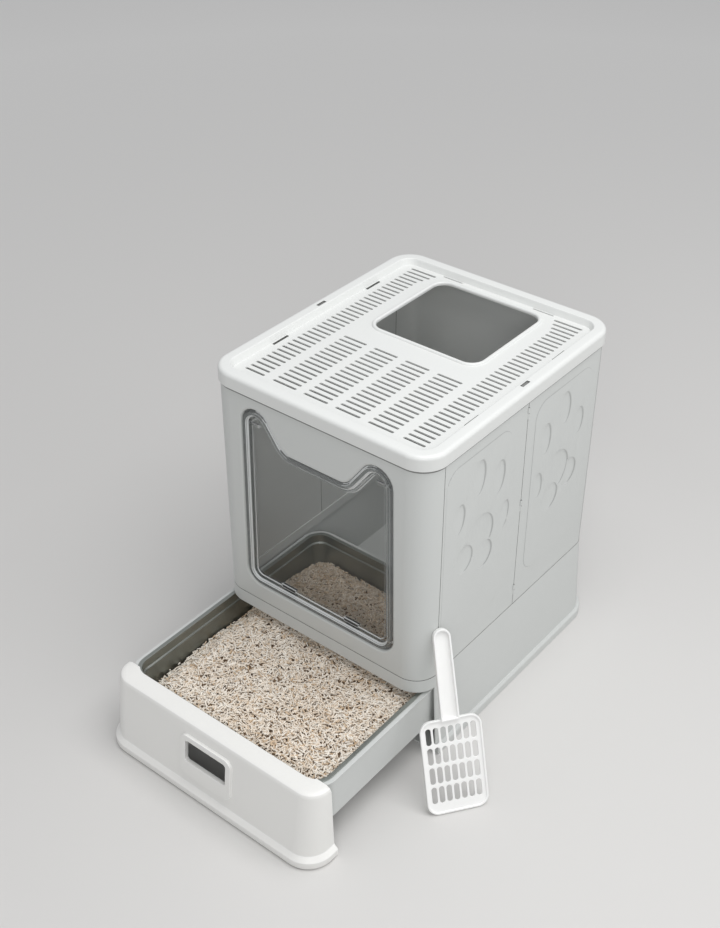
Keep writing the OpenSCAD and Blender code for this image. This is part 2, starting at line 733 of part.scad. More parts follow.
module lid_shell() color([0.93, 0.94, 0.93]) difference() {
    union() {
        around_rect(lid_w, lid_d, lid_r) lid_rim_profile();
        translate([0, 0, lid_under]) linear_extrude(lid_t) difference() {
            inner = lid_rim_w + lid_slope - 1;
            rounded_rect(lid_w - 2 * inner, lid_d - 2 * inner, lid_r - inner);
            translate([0, hole_y])
                rounded_rect(hole_w + hole_lip_w, hole_d + hole_lip_w, hole_r + hole_lip_w / 2);
            louvres();
            latch_slots();
        }
        translate([0, hole_y, 0]) around_rect(hole_w, hole_d, hole_r) hole_lip_profile();
    }
    both_sides() translate([lid_w / 2 - grip_notch_in, grip_notch_y, lid_top])
        cube([grip_notch_w, grip_notch_l, 2 * grip_notch_deep], center = true);
}

module tray_wall_profile() polygon([
    [tray_r - tray_step - tray_t, tray_z], [tray_r - tray_step, tray_z],
    [tray_r - tray_step, tray_top - tray_t], [tray_r, tray_top - tray_t], [tray_r, tray_top],
    [tray_r - tray_flange, tray_top], [tray_r - tray_flange, tray_top - tray_t],
    [tray_r - tray_step - tray_t, tray_top - tray_t]]);

module drawer_frame() color([0.80, 0.81, 0.80]) translate([0, -drawer_out, 0]) difference() {
    translate([0, tray_y, 0]) {
        around_rect(2 * tray_half, tray_d, tray_r) tray_wall_profile();
        translate([0, 0, tray_z]) linear_extrude(tray_t)
            rounded_rect(2 * (tray_half - tray_step), tray_d - 2 * tray_step, tray_r - tray_step);
    }
    screw_shafts();
}

shoulder_z = tray_top - pan_shoulder;

module pan_profile() polygon([
    [pan_r - pan_draft - pan_t, pan_floor],
    [pan_r - pan_draft, pan_floor],
    [pan_r - pan_step, shoulder_z],
    [pan_r, shoulder_z + pan_step],
    [pan_r, tray_top],
    [pan_r + pan_rim - pan_t, tray_top],
    [pan_r + pan_rim - pan_t, tray_top + pan_t],
    [pan_r - pan_t, tray_top + pan_t],
    [pan_r - pan_t, shoulder_z + pan_step + pan_t / 2],
    [pan_r - pan_step - pan_t, shoulder_z + pan_t / 2]]);

module litter_pan() color([0.45, 0.45, 0.43]) translate([0, tray_y - drawer_out, 0]) {
    around_rect(2 * pan_half, pan_d, pan_r) pan_profile();
    translate([0, 0, pan_floor]) linear_extrude(pan_t)
        rounded_rect(2 * (pan_half - pan_draft), pan_d - 2 * pan_draft, pan_r - pan_draft);
}

// How far the heap stays inside the pan's rim, at a height above the pan's floor.
function pan_ease(z) =
    pan_t + pan_step + (pan_draft - pan_step) * (1 - z / (pan_h - pan_shoulder)) + 2 * gap;

// The top of the heap rolls gently: waves by length, direction and phase.
litter_waves = [[95, 20, 0], [140, 105, 140], [75, 65, 250]];
heap_lowest = 34;
heap_in = pan_ease(heap_lowest);
heap_half = [pan_half - heap_in, pan_d / 2 - heap_in];
heap_rings = [0, 12, 26, 40, 58, 82, 112, 146];
heap_sides = 9;
heap_corner = 4;

function heap_fall(x, y) =
    norm([max(0, litter_left - x - heap_half[0]), max(0, litter_back + y - heap_half[1])])
    * (litter_h - litter_wall) / litter_left;
function heap_top(x, y) =
    let (s = [for (w = litter_waves) sin(360 * (x * cos(w[1]) + y * sin(w[1])) / w[0] + w[2])])
    litter_h - litter_roll * (1 - (s[0] + s[1] + s[2]) / 3) / 2 - heap_fall(x, y);

// The outline of a rounded rectangle, with its straight sides parted too.
function ring(half, r) = [for (k = [0:3])
    let (turn = 90 * k, sx = k == 0 || k == 3 ? 1 : -1, sy = k < 2 ? 1 : -1,
         centre = [sx * (half[0] - r), sy * (half[1] - r)],
         long = k % 2 == 0 ? 2 * (half[0] - r) : 2 * (half[1] - r),
         end = centre + r * [cos(turn + 90), sin(turn + 90)])
    each concat(
        arc(centre, r, turn, turn + 90, heap_corner),
        [for (i = [1:heap_sides - 1]) end + long * i / heap_sides * [cos(turn + 180), sin(turn + 180)]])];

module litter_bed() color([0.84, 0.77, 0.68]) {
    foot = ring([pan_half - pan_ease(0), pan_d / 2 - pan_ease(0)], pan_r - pan_ease(0));
    n = len(foot);
    top = [for (d = heap_rings) for (p = ring(heap_half - [d, d], max(pan_r - heap_in - d, 1)))
        [p[0], p[1], heap_top(p[0], p[1])]];
    points = concat([for (p = foot) [p[0], p[1], 0]], top, [[0, 0, heap_top(0, 0)]]);
    last = len(heap_rings);
    translate([0, tray_y - drawer_out, pan_floor + pan_t + gap]) polyhedron(points, concat(
        [[for (i = [0:n - 1]) i]],
        [for (k = [0:last - 1], i = [0:n - 1]) let (j = (i + 1) % n)
            each [[k * n + i, (k + 1) * n + i, (k + 1) * n + j], [k * n + i, (k + 1) * n + j, k * n + j]]],
        [for (i = [0:n - 1]) [len(points) - 1, last * n + (i + 1) % n, last * n + i]]));
}

// A slice of the drawer front, grown by out past its top edge's outline.
module front_slice(ahead, aside, r, z, h, back)
    translate([0, 0, z]) linear_extrude(h) intersection() {
        y = front_y - ahead;
        half = front_half + aside;
        translate([-half, y]) square([2 * half, back - y]);
        union() {
            translate([-half, y + r]) square([2 * half, far]);
            translate([-half + r, y]) square([2 * half - 2 * r, r + 1]);
            for (s = [-1, 1]) translate([s * (half - r), y + r]) circle(r, $fn = 48);
        }
    }

module front_outer(in, top, back) hull() {
    front_slice(front_lean - in, front_side_lean - in, front_foot_r - in, front_gap, 1, back);
    front_slice(front_lean - in, front_side_lean - in, front_foot_r - in, bead_h, 1, back);
    front_slice(-in, -in, front_r - in, top - front_edge_r, 0.5, back);
    ease = front_edge_r * edge_ease;
    front_slice(-in - ease, -in - ease, front_r - in - ease, top - ease, 0.1, back);
    front_slice(-in - front_edge_r, -in - front_edge_r, front_r - in - front_edge_r, top - 0.5, 0.5, back);
}

bead_round = 2;
edge_ease = 0.3;
pan_clear = 1;

module front_bead() hull() {
    out = front_lean + bead_out;
    side = front_side_lean + bead_out;
    front_slice(out - bead_round, side - bead_round, bead_r - bead_round, front_gap, 1, front_end);
    front_slice(out, side, bead_r, front_gap + 2 * bead_round, bead_h / 2, front_end);
    front_slice(front_lean, front_side_lean, front_foot_r, bead_h, 1, front_end);
}

module handle_place() translate([0, front_y - front_lean_at(handle_z), handle_z])
    rotate([-lean_angle, 0, 0]) rotate([90, 0, 0]) children();

module drawer_front() color([0.94, 0.94, 0.92]) translate([0, -drawer_out, 0]) difference() {
    union() {
        difference() {
            union() {
                front_outer(0, front_top, front_end);
                front_bead();
                handle_place() translate([0, -(handle_foot - handle_rim) / 2, -1])
                    linear_extrude(handle_out + 1)
                        rounded_rect(handle_w + 2 * handle_rim, handle_h + handle_rim + handle_foot,
                            handle_rim_r);
            }
            front_outer(front_t, tray_top + pan_t + gap, front_end + 1);
            translate([0, tray_y, -1]) linear_extrude(tray_top + pan_t + gap + 1)
                rounded_rect(2 * (tray_half + gap), tray_d + 2 * gap, tray_r + gap);
        }
        both_sides() for (x = screw_x) translate([x, tray_front + tray_step, screw_z]) rotate([90, 0, 0])
            cylinder(h = front_room + tray_step + front_lean_at(screw_z) - front_t / 2, r = boss_r);
    }
    translate([0, tray_y, 0]) linear_extrude(far)
        rounded_rect(2 * (pan_half + pan_clear), pan_d + 2 * pan_clear, pan_r + pan_clear);
    handle_place() translate([0, 0, -far / 2]) linear_extrude(far)
        rounded_rect(handle_w, handle_h, handle_r);
    screw_shafts();
}

handle_r = 5;
handle_rim_r = 12;
screw_in = 6.5;
screw_x = [(tray_half - tray_r - screw_in) / 2, tray_half - tray_r - screw_in];
screw_z = 98;
screw_r = 1.5;
screw_l = 14;
screw_head = 1.6;
boss_r = 4;

// How far the face has leaned out at a height.
function front_lean_at(z) = front_lean * (front_top - z) / (front_top - bead_h);

module screw_shafts() both_sides() for (x = screw_x)
    translate([x, tray_front + tray_step + tray_t, screw_z]) rotate([90, 0, 0])
        cylinder(h = screw_l, r = screw_r);

module front_screws() color("silver") translate([0, -drawer_out, 0]) {
    screw_shafts();
    both_sides() for (x = screw_x) translate([x, tray_front + tray_step + tray_t + screw_head, screw_z])
        rotate([90, 0, 0]) cylinder(h = screw_head, r = 2 * screw_r);
}

// The handle's rounded end leans on the right front corner of the housing.
scoop_seat = [half_w - corner_r, -half_d + corner_r]
    + (corner_r + gap) * [cos(scoop_rest), -sin(scoop_rest)];
touch_turn = 43;
scoop_touch = [0, scoop_l - grip_w / 2] + grip_w / 2 * [-sin(touch_turn), cos(touch_turn)];
scoop_foot = scoop_seat - scoop_touch[0] * [cos(scoop_turn), sin(scoop_turn)]
    - scoop_touch[1] * sin(scoop_lean) * [-sin(scoop_turn), cos(scoop_turn)];

module scoop() color([0.94, 0.95, 0.93])
    translate([scoop_foot[0], scoop_foot[1], 0]) rotate([0, 0, scoop_turn]) rotate([90 - scoop_lean, 0, 0])
        scoop_flat();

sieve_up = 2;

// The scoop lying down, foot of the blade at the origin, handle along +Y.
module scoop_flat() {
    difference() {
        translate([0, blade_l / 2, 0]) linear_extrude(blade_rim) rounded_rect(blade_w, blade_l, blade_r);
        translate([0, blade_l / 2, blade_t]) linear_extrude(far)
            rounded_rect(blade_w - 2 * blade_rim_w, blade_l - 2 * blade_rim_w, blade_r - blade_rim_w);
        for (row = [0:sieve_rows - 1], col = [0:sieve_cols - 1])
            translate([(col - (sieve_cols - 1) / 2) * sieve_step,
                blade_l / 2 + (row - (sieve_rows - 1) / 2) * sieve_rise + sieve_up, -1])
                linear_extrude(far) rotate(90) slot(sieve_l, sieve_w);
    }
    difference() {
        linear_extrude(grip_t) grip_outline(0);
        translate([0, 0, grip_wall]) linear_extrude(far) grip_outline(grip_wall);
    }
}

module grip_outline(d) {
    foot = blade_l - blade_rim_w + d;
    polygon([
        [-neck_w / 2 + d, foot], [neck_w / 2 - d, foot],
        [grip_w / 2 - d, scoop_l - grip_w / 2], [-grip_w / 2 + d, scoop_l - grip_w / 2]]);
    translate([0, scoop_l - grip_w / 2]) circle(grip_w / 2 - d);
}

base_housing();
front_panel();
door_frame();
frame_magnets();
left_corner_pins();
right_corner_pins();
door_flap();
door_pins();
flap_magnets();
left_front_side();
left_rear_side();
left_fold_pins();
left_back_pins();
back_panel();
right_front_side();
right_rear_side();
right_fold_pins();
right_back_pins();
lid_shell();
drawer_frame();
drawer_front();
front_screws();
litter_pan();
litter_bed();
scoop();
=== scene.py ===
import math

import bpy
import numpy as np
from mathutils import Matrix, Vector
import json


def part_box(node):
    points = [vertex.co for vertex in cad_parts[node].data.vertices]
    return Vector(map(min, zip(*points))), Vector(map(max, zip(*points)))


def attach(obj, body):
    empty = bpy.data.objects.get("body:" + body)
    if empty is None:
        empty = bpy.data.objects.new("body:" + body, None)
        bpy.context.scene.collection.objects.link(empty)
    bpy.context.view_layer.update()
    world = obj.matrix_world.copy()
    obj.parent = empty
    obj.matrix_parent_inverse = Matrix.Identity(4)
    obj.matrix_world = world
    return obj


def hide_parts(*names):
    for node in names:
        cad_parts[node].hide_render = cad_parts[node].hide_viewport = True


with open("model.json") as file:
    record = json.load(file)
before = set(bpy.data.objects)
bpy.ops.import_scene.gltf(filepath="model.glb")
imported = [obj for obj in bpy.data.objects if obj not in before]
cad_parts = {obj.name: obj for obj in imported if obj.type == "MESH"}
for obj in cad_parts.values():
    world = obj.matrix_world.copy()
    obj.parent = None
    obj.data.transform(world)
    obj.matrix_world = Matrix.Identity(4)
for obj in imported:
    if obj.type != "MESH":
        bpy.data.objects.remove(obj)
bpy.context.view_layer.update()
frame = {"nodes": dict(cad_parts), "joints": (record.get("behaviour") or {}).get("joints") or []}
nodes = frame["nodes"]
print("frame loaded:", len(nodes), "nodes")


def addNode(tree, kind, at, **values):
    node = tree.nodes.new(kind)
    node.location = at
    for name, value in values.items():
        setattr(node, name, value)
    return node


def plug(socket, value):                        # an output is linked, any other value is set
    if isinstance(value, bpy.types.NodeSocket):
        socket.id_data.links.new(value, socket)
    else:
        socket.default_value = value


def feed(node, **values):                       # plugs sockets by name, with _ for a space
    for name, value in values.items():
        plug(node.inputs[name.replace("_", " ")], value)


def newGroup(name, inputs, outputs):
    tree = bpy.data.node_groups.new(name, "ShaderNodeTree")
    for label, kind, value in inputs:
        tree.interface.new_socket(name=label, in_out="INPUT", socket_type=kind).default_value = value
    for label, kind in outputs:
        tree.interface.new_socket(name=label, in_out="OUTPUT", socket_type=kind)
    given = addNode(tree, "NodeGroupInput", (-1200, 0)).outputs
    end = addNode(tree, "NodeGroupOutput", (700, 0))
    return tree, given, end


def objectPlace(tree, at):
    return addNode(tree, "ShaderNodeTexCoord", at).outputs["Object"]


def faceMark(tree, at, name):                   # one of a piece's own attributes
    return addNode(tree, "ShaderNodeAttribute", at, attribute_name=name).outputs["Fac"]


def mixColours(tree, at, factor, a, b):
    mix = addNode(tree, "ShaderNodeMix", at, data_type="RGBA")
    for number, value in ((0, factor), (6, a), (7, b)):
        plug(mix.inputs[number], value)
    return mix.outputs[2]


def maths(tree, at, operation, a, b):
    node = addNode(tree, "ShaderNodeMath", at, operation=operation)
    plug(node.inputs[0], a)
    plug(node.inputs[1], b)
    return node.outputs[0]


def zOf(tree, at, vector):
    split = addNode(tree, "ShaderNodeSeparateXYZ", at)
    plug(split.inputs[0], vector)
    return split.outputs["Z"]


def noise(tree, at, vector, scale, detail=3.0, roughness=0.55):
    node = addNode(tree, "ShaderNodeTexNoise", at)
    feed(node, Vector=vector, Scale=scale, Detail=detail, Roughness=roughness)
    return node.outputs["Fac"]


def stretched(tree, at, vector, scale, turn=(0.0, 0.0, 0.0)):
    node = addNode(tree, "ShaderNodeMapping", at)
    feed(node, Vector=vector, Scale=scale, Rotation=turn)
    return node.outputs["Vector"]


def spread(tree, at, value, low, high, toLow, toHigh):
    node = addNode(tree, "ShaderNodeMapRange", at)
    feed(node, Value=value, From_Min=low, From_Max=high, To_Min=toLow, To_Max=toHigh)
    return node.outputs["Result"]


def bumpOf(tree, at, height, strength, distance):
    node = addNode(tree, "ShaderNodeBump", at)
    feed(node, Height=height, Strength=strength, Distance=distance)
    return node.outputs["Normal"]


skinOutputs = [
    ("Colour", "NodeSocketColor"),
    ("Roughness", "NodeSocketFloat"),
    ("Normal", "NodeSocketVector"),
]
plasticWear = {
    "cloudScale": 7.0, "smearScale": 32.0, "grainHeight": 0.0002,
    "dustScale": 260.0, "dustAmount": 0.22, "dustRough": 0.25,
    "seamHalf": 0.0016, "seamFade": 0.0022,     # the painted shadow line: full up to one distance from the seam, gone at the other
}


# Moulded plastic: an eroded grain, faint clouding, paler rounded edges, handling smears and a little dust,
# with painted shade in the seams, pits and dents and a painted shadow line at one height.
def makePlasticSkin():
    tree, given, end = newGroup("plasticSkin", [
        ("Colour", "NodeSocketColor", (0.6, 0.6, 0.6, 1)),
        ("Shade", "NodeSocketColor", (0.55, 0.55, 0.55, 1)),
        ("Dust", "NodeSocketColor", (0.7, 0.68, 0.65, 1)),
        ("Seam", "NodeSocketColor", (0.12, 0.12, 0.115, 1)),
        ("Seam Height", "NodeSocketFloat", -1.0),
        ("Clouding", "NodeSocketFloat", 0.3),
        ("Edge Lift", "NodeSocketFloat", 0.25),
        ("Roughness", "NodeSocketFloat", 0.45),
        ("Grain Scale", "NodeSocketFloat", 1400.0),
        ("Grain Depth", "NodeSocketFloat", 0.15),
    ], skinOutputs)
    place = objectPlace(tree, (-1200, -300))
    facing = addNode(tree, "ShaderNodeNewGeometry", (-1200, -550)).outputs["Normal"]
    edge = faceMark(tree, (-1200, 300), "edge")
    seam = faceMark(tree, (-1200, 500), "seam")
    cloud = noise(tree, (-900, 400), place, plasticWear["cloudScale"], 4.0)
    smear = noise(tree, (-900, 0), place, plasticWear["smearScale"], 5.0, 0.65)
    dust = noise(tree, (-1000, -350), place, plasticWear["dustScale"], 6.0, 0.75)
    grain = noise(tree, (-500, -650), place, given["Grain Scale"], 2.0, 0.6)
    amount = maths(tree, (-700, 400), "MULTIPLY", cloud, given["Clouding"])
    tint = mixColours(tree, (-500, 400), amount, given["Colour"], given["Shade"])
    wear = maths(tree, (-700, 200), "MULTIPLY", edge, given["Edge Lift"])
    patchy = maths(tree, (-500, 200), "MULTIPLY", wear, spread(tree, (-700, 50), cloud, 0.35, 0.65, 0.5, 1.0))
    tint = mixColours(tree, (-300, 400), patchy, tint, (1.0, 1.0, 1.0, 1))
    upward = spread(tree, (-800, -550), zOf(tree, (-1000, -550), facing), 0.75, 1.0, 0.0, 0.5)
    speck = spread(tree, (-800, -350), dust, 0.52, 0.72, 0.0, 1.0)
    settled = maths(tree, (-600, -450), "MULTIPLY", upward, speck)
    dusty = maths(tree, (-400, -450), "MULTIPLY", settled, plasticWear["dustAmount"])
    tint = mixColours(tree, (-100, 400), dusty, tint, given["Dust"])
    # painted shade: a line at the seam height and the faces marked as shaded, darkened unevenly along the
    # smears
    apart = maths(tree, (-800, 700), "SUBTRACT", zOf(tree, (-1000, 700), place), given["Seam Height"])
    apart = maths(tree, (-700, 700), "ABSOLUTE", apart, 0.0)
    strip = spread(tree, (-600, 700), apart, plasticWear["seamHalf"], plasticWear["seamFade"], 1.0, 0.0)
    seam = maths(tree, (-400, 700), "MAXIMUM", seam, strip)
    paintedShade = maths(tree, (-100, 600), "MULTIPLY", seam, spread(tree, (-300, 600), smear, 0.3, 0.7, 0.75, 0.95))
    tint = mixColours(tree, (100, 400), paintedShade, tint, given["Seam"])
    polish = spread(tree, (-700, -100), smear, 0.3, 0.7, -0.05, 0.07)
    rough = maths(tree, (-500, -100), "ADD", polish, given["Roughness"])
    dull = maths(tree, (-500, -250), "MULTIPLY", settled, plasticWear["dustRough"])
    bump = bumpOf(tree, (-200, -650), grain, given["Grain Depth"], plasticWear["grainHeight"])
    feed(end, Colour=tint, Roughness=maths(tree, (-300, -100), "ADD", rough, dull), Normal=bump)
    return tree


steelWear = {
    "stretch": (6.0, 6.0, 900.0), "oxideScale": 14.0,
    "streakColour": (0.16, 0.16, 0.15, 1), "streakAmount": 0.5, "streakHeight": 0.0001,
}


# Drawn sheet steel: level streaks from the die and cloudy oxide.
def makeSteelSkin():
    tree, given, end = newGroup("steelSkin", [
        ("Colour", "NodeSocketColor", (0.45, 0.45, 0.43, 1)),
        ("Dull", "NodeSocketColor", (0.30, 0.30, 0.28, 1)),
        ("Roughness", "NodeSocketFloat", 0.35),
        ("Streaks", "NodeSocketFloat", 0.5),
    ], skinOutputs)
    place = objectPlace(tree, (-1200, -300))
    drawn = stretched(tree, (-1000, -300), place, steelWear["stretch"])
    streak = noise(tree, (-800, -200), drawn, 1.0, 4.0, 0.6)
    oxide = noise(tree, (-800, 200), place, steelWear["oxideScale"], 5.0, 0.6)
    dulled = spread(tree, (-600, 200), oxide, 0.35, 0.7, 0.0, 0.8)
    tint = mixColours(tree, (-300, 300), dulled, given["Colour"], given["Dull"])
    lines = maths(tree, (-500, -100), "MULTIPLY", streak, given["Streaks"])
    dark = maths(tree, (-300, 100), "MULTIPLY", lines, steelWear["streakAmount"])
    polish = spread(tree, (-500, -300), streak, 0.3, 0.7, -0.07, 0.09)
    feed(end, Colour=mixColours(tree, (-100, 300), dark, tint, steelWear["streakColour"]),
         Roughness=maths(tree, (-300, -100), "ADD", given["Roughness"], polish),
         Normal=bumpOf(tree, (-200, -500), lines, 0.35, steelWear["streakHeight"]))
    return tree


fibreWear = {
    "driftScale": 9.0, "drift": 0.12,
    "fibreScale": 1500.0, "fibreAmount": 0.16, "fibreColour": (0.28, 0.18, 0.10, 1), "fibreHeight": 0.0003,
}


# Pressed plant fibre: each pellet has its own tone, which drifts over the heap, and fine darker fibres.
def makePelletSkin():
    tree, given, end = newGroup("pelletSkin", [
        ("Pale", "NodeSocketColor", (0.75, 0.64, 0.5, 1)),
        ("Tan", "NodeSocketColor", (0.5, 0.36, 0.22, 1)),
        ("Roughness", "NodeSocketFloat", 0.85),
    ], skinOutputs)
    place = objectPlace(tree, (-1200, -300))
    tone = faceMark(tree, (-1200, 300), "tone")
    slow = noise(tree, (-1100, 100), place, fibreWear["driftScale"], 3.0)
    fibre = noise(tree, (-900, -200), place, fibreWear["fibreScale"], 4.0, 0.7)
    drift = spread(tree, (-900, 100), slow, 0.3, 0.7, -fibreWear["drift"], fibreWear["drift"])
    shade = maths(tree, (-700, 200), "ADD", tone, drift)
    tint = mixColours(tree, (-400, 300), shade, given["Pale"], given["Tan"])
    dark = spread(tree, (-600, -50), fibre, 0.5, 0.75, 0.0, fibreWear["fibreAmount"])
    polish = spread(tree, (-600, -300), fibre, 0.3, 0.7, -0.1, 0.1)
    feed(end, Colour=mixColours(tree, (-200, 300), dark, tint, fibreWear["fibreColour"]),
         Roughness=maths(tree, (-400, -100), "ADD", given["Roughness"], polish),
         Normal=bumpOf(tree, (-200, -400), fibre, 0.5, fibreWear["fibreHeight"]))
    return tree


clearWear = {
    "smudgeScale": 24.0, "haze": 0.04,
    "hairStretch": (900.0, 900.0, 30.0), "hairTurn": (0.0, 0.5, 0.3),
    "hairStrength": 0.02, "hairHeight": 0.00005,
}


# Polished clear plastic: a body tint, with smudges and hairlines. The rounded edges are painted paler and
# denser as a painted highlight, and those that face outward dark and denser as a painted shade outline.
def makeClearSkin():
    tree, given, end = newGroup("clearSkin", [
        ("Colour", "NodeSocketColor", (0.8, 0.83, 0.84, 1)),
        ("Edge Colour", "NodeSocketColor", (0.95, 0.97, 0.97, 1)),
        ("Shade Outline", "NodeSocketColor", (0.10, 0.105, 0.105, 1)),
        ("Body", "NodeSocketFloat", 0.3),
        ("Edge Body", "NodeSocketFloat", 0.6),
        ("Roughness", "NodeSocketFloat", 0.08),
    ], skinOutputs + [("Body", "NodeSocketFloat")])
    place = objectPlace(tree, (-1200, -300))
    edge = faceMark(tree, (-1200, 300), "edge")
    outline = faceMark(tree, (-1200, 500), "seam")
    smudge = noise(tree, (-900, 0), place, clearWear["smudgeScale"], 5.0, 0.6)
    drawn = stretched(tree, (-1000, -500), place, clearWear["hairStretch"], clearWear["hairTurn"])
    hairline = noise(tree, (-800, -500), drawn, 1.0, 2.0)
    tint = mixColours(tree, (-500, 300), edge, given["Colour"], given["Edge Colour"])
    haze = spread(tree, (-700, 100), smudge, 0.4, 0.75, 0.0, clearWear["haze"])
    body = addNode(tree, "ShaderNodeMix", (-500, 0), data_type="FLOAT")
    plug(body.inputs[0], maths(tree, (-700, 0), "MAXIMUM", edge, outline))
    plug(body.inputs[2], given["Body"])
    plug(body.inputs[3], given["Edge Body"])
    polish = spread(tree, (-600, -200), smudge, 0.35, 0.75, -0.02, 0.10)
    feed(end, Colour=mixColours(tree, (-300, 300), outline, tint, given["Shade Outline"]),
         Roughness=maths(tree, (-400, -200), "ADD", given["Roughness"], polish),
         Normal=bumpOf(tree, (-200, -500), hairline, clearWear["hairStrength"], clearWear["hairHeight"]),
         Body=maths(tree, (-200, 0), "ADD", body.outputs[0], haze))
    return tree


plasticSkin = makePlasticSkin()
steelSkin = makeSteelSkin()
pelletSkin = makePelletSkin()
clearSkin = makeClearSkin()


def newMaterial(name):
    material = bpy.data.materials.new(name)
    material.use_nodes = True
    tree = material.node_tree
    return material, tree, tree.nodes["Principled BSDF"]


def skinned(name, group, look, **shaderValues):  # a group's outputs into one shader
    material, tree, shader = newMaterial(name)
    skin = addNode(tree, "ShaderNodeGroup", (-400, 200), node_tree=group)
    feed(skin, **look)
    feed(shader, Base_Color=skin.outputs["Colour"], Roughness=skin.outputs["Roughness"],
         Normal=skin.outputs["Normal"], **shaderValues)
    return material, tree, shader, skin


lidLow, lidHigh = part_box("lid_shell")
greyPlastic = {
    "Colour": (0.61, 0.625, 0.61, 1), "Shade": (0.575, 0.59, 0.58, 1), "Dust": (0.66, 0.65, 0.63, 1),
    "Clouding": 0.5, "Edge_Lift": 0.08, "Roughness": 0.42, "Grain_Scale": 1500.0, "Grain_Depth": 0.12,
    "Seam_Height": lidLow[2] - plasticWear["seamHalf"],      # the painted shadow line under the lid's skirt
}
whitePlastic = {
    "Colour": (0.74, 0.75, 0.735, 1), "Shade": (0.705, 0.715, 0.70, 1), "Dust": (0.68, 0.66, 0.62, 1),
    "Clouding": 0.45, "Edge_Lift": 0.12, "Roughness": 0.36, "Grain_Scale": 1700.0, "Grain_Depth": 0.08,
}
warmPlastic = {
    "Colour": (0.85, 0.845, 0.82, 1), "Shade": (0.82, 0.815, 0.785, 1), "Dust": (0.74, 0.71, 0.66, 1),
    "Clouding": 0.5, "Edge_Lift": 0.3, "Roughness": 0.40, "Grain_Scale": 1600.0, "Grain_Depth": 0.10,
}
scoopPlastic = dict(warmPlastic, Colour=(0.90, 0.90, 0.885, 1), Shade=(0.875, 0.875, 0.86, 1))
blackCoat = {
    "Colour": (0.028, 0.028, 0.030, 1), "Shade": (0.045, 0.045, 0.047, 1), "Dust": (0.3, 0.29, 0.27, 1),
    "Clouding": 0.6, "Edge_Lift": 0.06, "Roughness": 0.35, "Grain_Scale": 1400.0, "Grain_Depth": 0.1,
}
greyMaterial = skinned("housingGrey", plasticSkin, greyPlastic, Specular_IOR_Level=0.45)[0]
whiteMaterial = skinned("lidWhite", plasticSkin, whitePlastic, Specular_IOR_Level=0.5)[0]
warmMaterial = skinned("drawerWhite", plasticSkin, warmPlastic, Specular_IOR_Level=0.5)[0]
scoopMaterial = skinned("scoopWhite", plasticSkin, scoopPlastic, Specular_IOR_Level=0.5)[0]
magnetMaterial = skinned("blackMagnet", plasticSkin, blackCoat, Specular_IOR_Level=0.5)[0]

panSteel = {
    "Colour": (0.42, 0.44, 0.415, 1), "Dull": (0.35, 0.37, 0.345, 1), "Roughness": 0.40, "Streaks": 0.15,
}
pinSteel = {
    "Colour": (0.62, 0.62, 0.62, 1), "Dull": (0.50, 0.50, 0.50, 1), "Roughness": 0.28, "Streaks": 0.4,
}
panMaterial = skinned("drawnSteel", steelSkin, panSteel, Metallic=1.0)[0]
pinMaterial = skinned("pinSteel", steelSkin, pinSteel, Metallic=1.0)[0]

pellets = {"Pale": (0.95, 0.90, 0.82, 1), "Tan": (0.66, 0.50, 0.34, 1), "Roughness": 0.65}
# the bed under the pellets is painted dark, as the shade between the pellets
bedShade = {"Pale": (0.20, 0.135, 0.085, 1), "Tan": (0.12, 0.08, 0.05, 1), "Roughness": 0.9}
pelletMaterial = skinned("pressedPellet", pelletSkin, pellets, Specular_IOR_Level=0.4)[0]
bedShadeMaterial = skinned("litterBedShade", pelletSkin, bedShade, Specular_IOR_Level=0.2)[0]


# The body of a clear sheet shows through its alpha, and its gloss grows towards the rim of the view.
def clearSheet(name, look, glaze):
    material, tree, shader, skin = skinned(name, clearSkin, look, Specular_IOR_Level=0.8)
    facing = addNode(tree, "ShaderNodeLayerWeight", (-600, -200))
    feed(facing, Blend=glaze)
    feed(shader, Alpha=maths(tree, (-200, -100), "MAXIMUM", skin.outputs["Body"], facing.outputs["Facing"]))
    return material


# the pale edge colour and the denser edge body are a painted highlight on the rounded edges
clearFrame = {
    "Colour": (0.22, 0.235, 0.23, 1), "Edge_Colour": (0.93, 0.95, 0.95, 1),
    "Body": 0.46, "Edge_Body": 0.62, "Roughness": 0.08,
}
smokedFlap = {
    "Colour": (0.25, 0.26, 0.255, 1), "Edge_Colour": (0.80, 0.82, 0.82, 1),
    "Body": 0.05, "Edge_Body": 0.6, "Roughness": 0.06,
}
frameMaterial = clearSheet("clearFrame", clearFrame, 0.16)
flapMaterial = clearSheet("smokedFlap", smokedFlap, 0.08)
print("materials made:", len(bpy.data.materials))


def pick(piece):
    bpy.ops.object.select_all(action="DESELECT")
    piece.select_set(True)
    bpy.context.view_layer.objects.active = piece


def newPiece(name, mesh):
    piece = bpy.data.objects.new(name, mesh)
    bpy.context.collection.objects.link(piece)
    pick(piece)
    return piece


def setSlot(piece, material):
    piece.data.materials.clear()
    piece.data.materials.append(material)


def finishPiece(piece, material, body, slotName, *replaced):
    setSlot(piece, material)
    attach(piece, body)
    if replaced:
        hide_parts(*replaced)
    return piece


def faceRows(mesh, name):                       # a vector of each face
    rows = np.empty(len(mesh.polygons) * 3, dtype=np.float32)
    mesh.polygons.foreach_get(name, rows)
    return rows.reshape(-1, 3)


def markFaces(mesh, name, values):
    mesh.attributes.new(name, "FLOAT", "FACE").data.foreach_set("value", values.astype(np.float32))


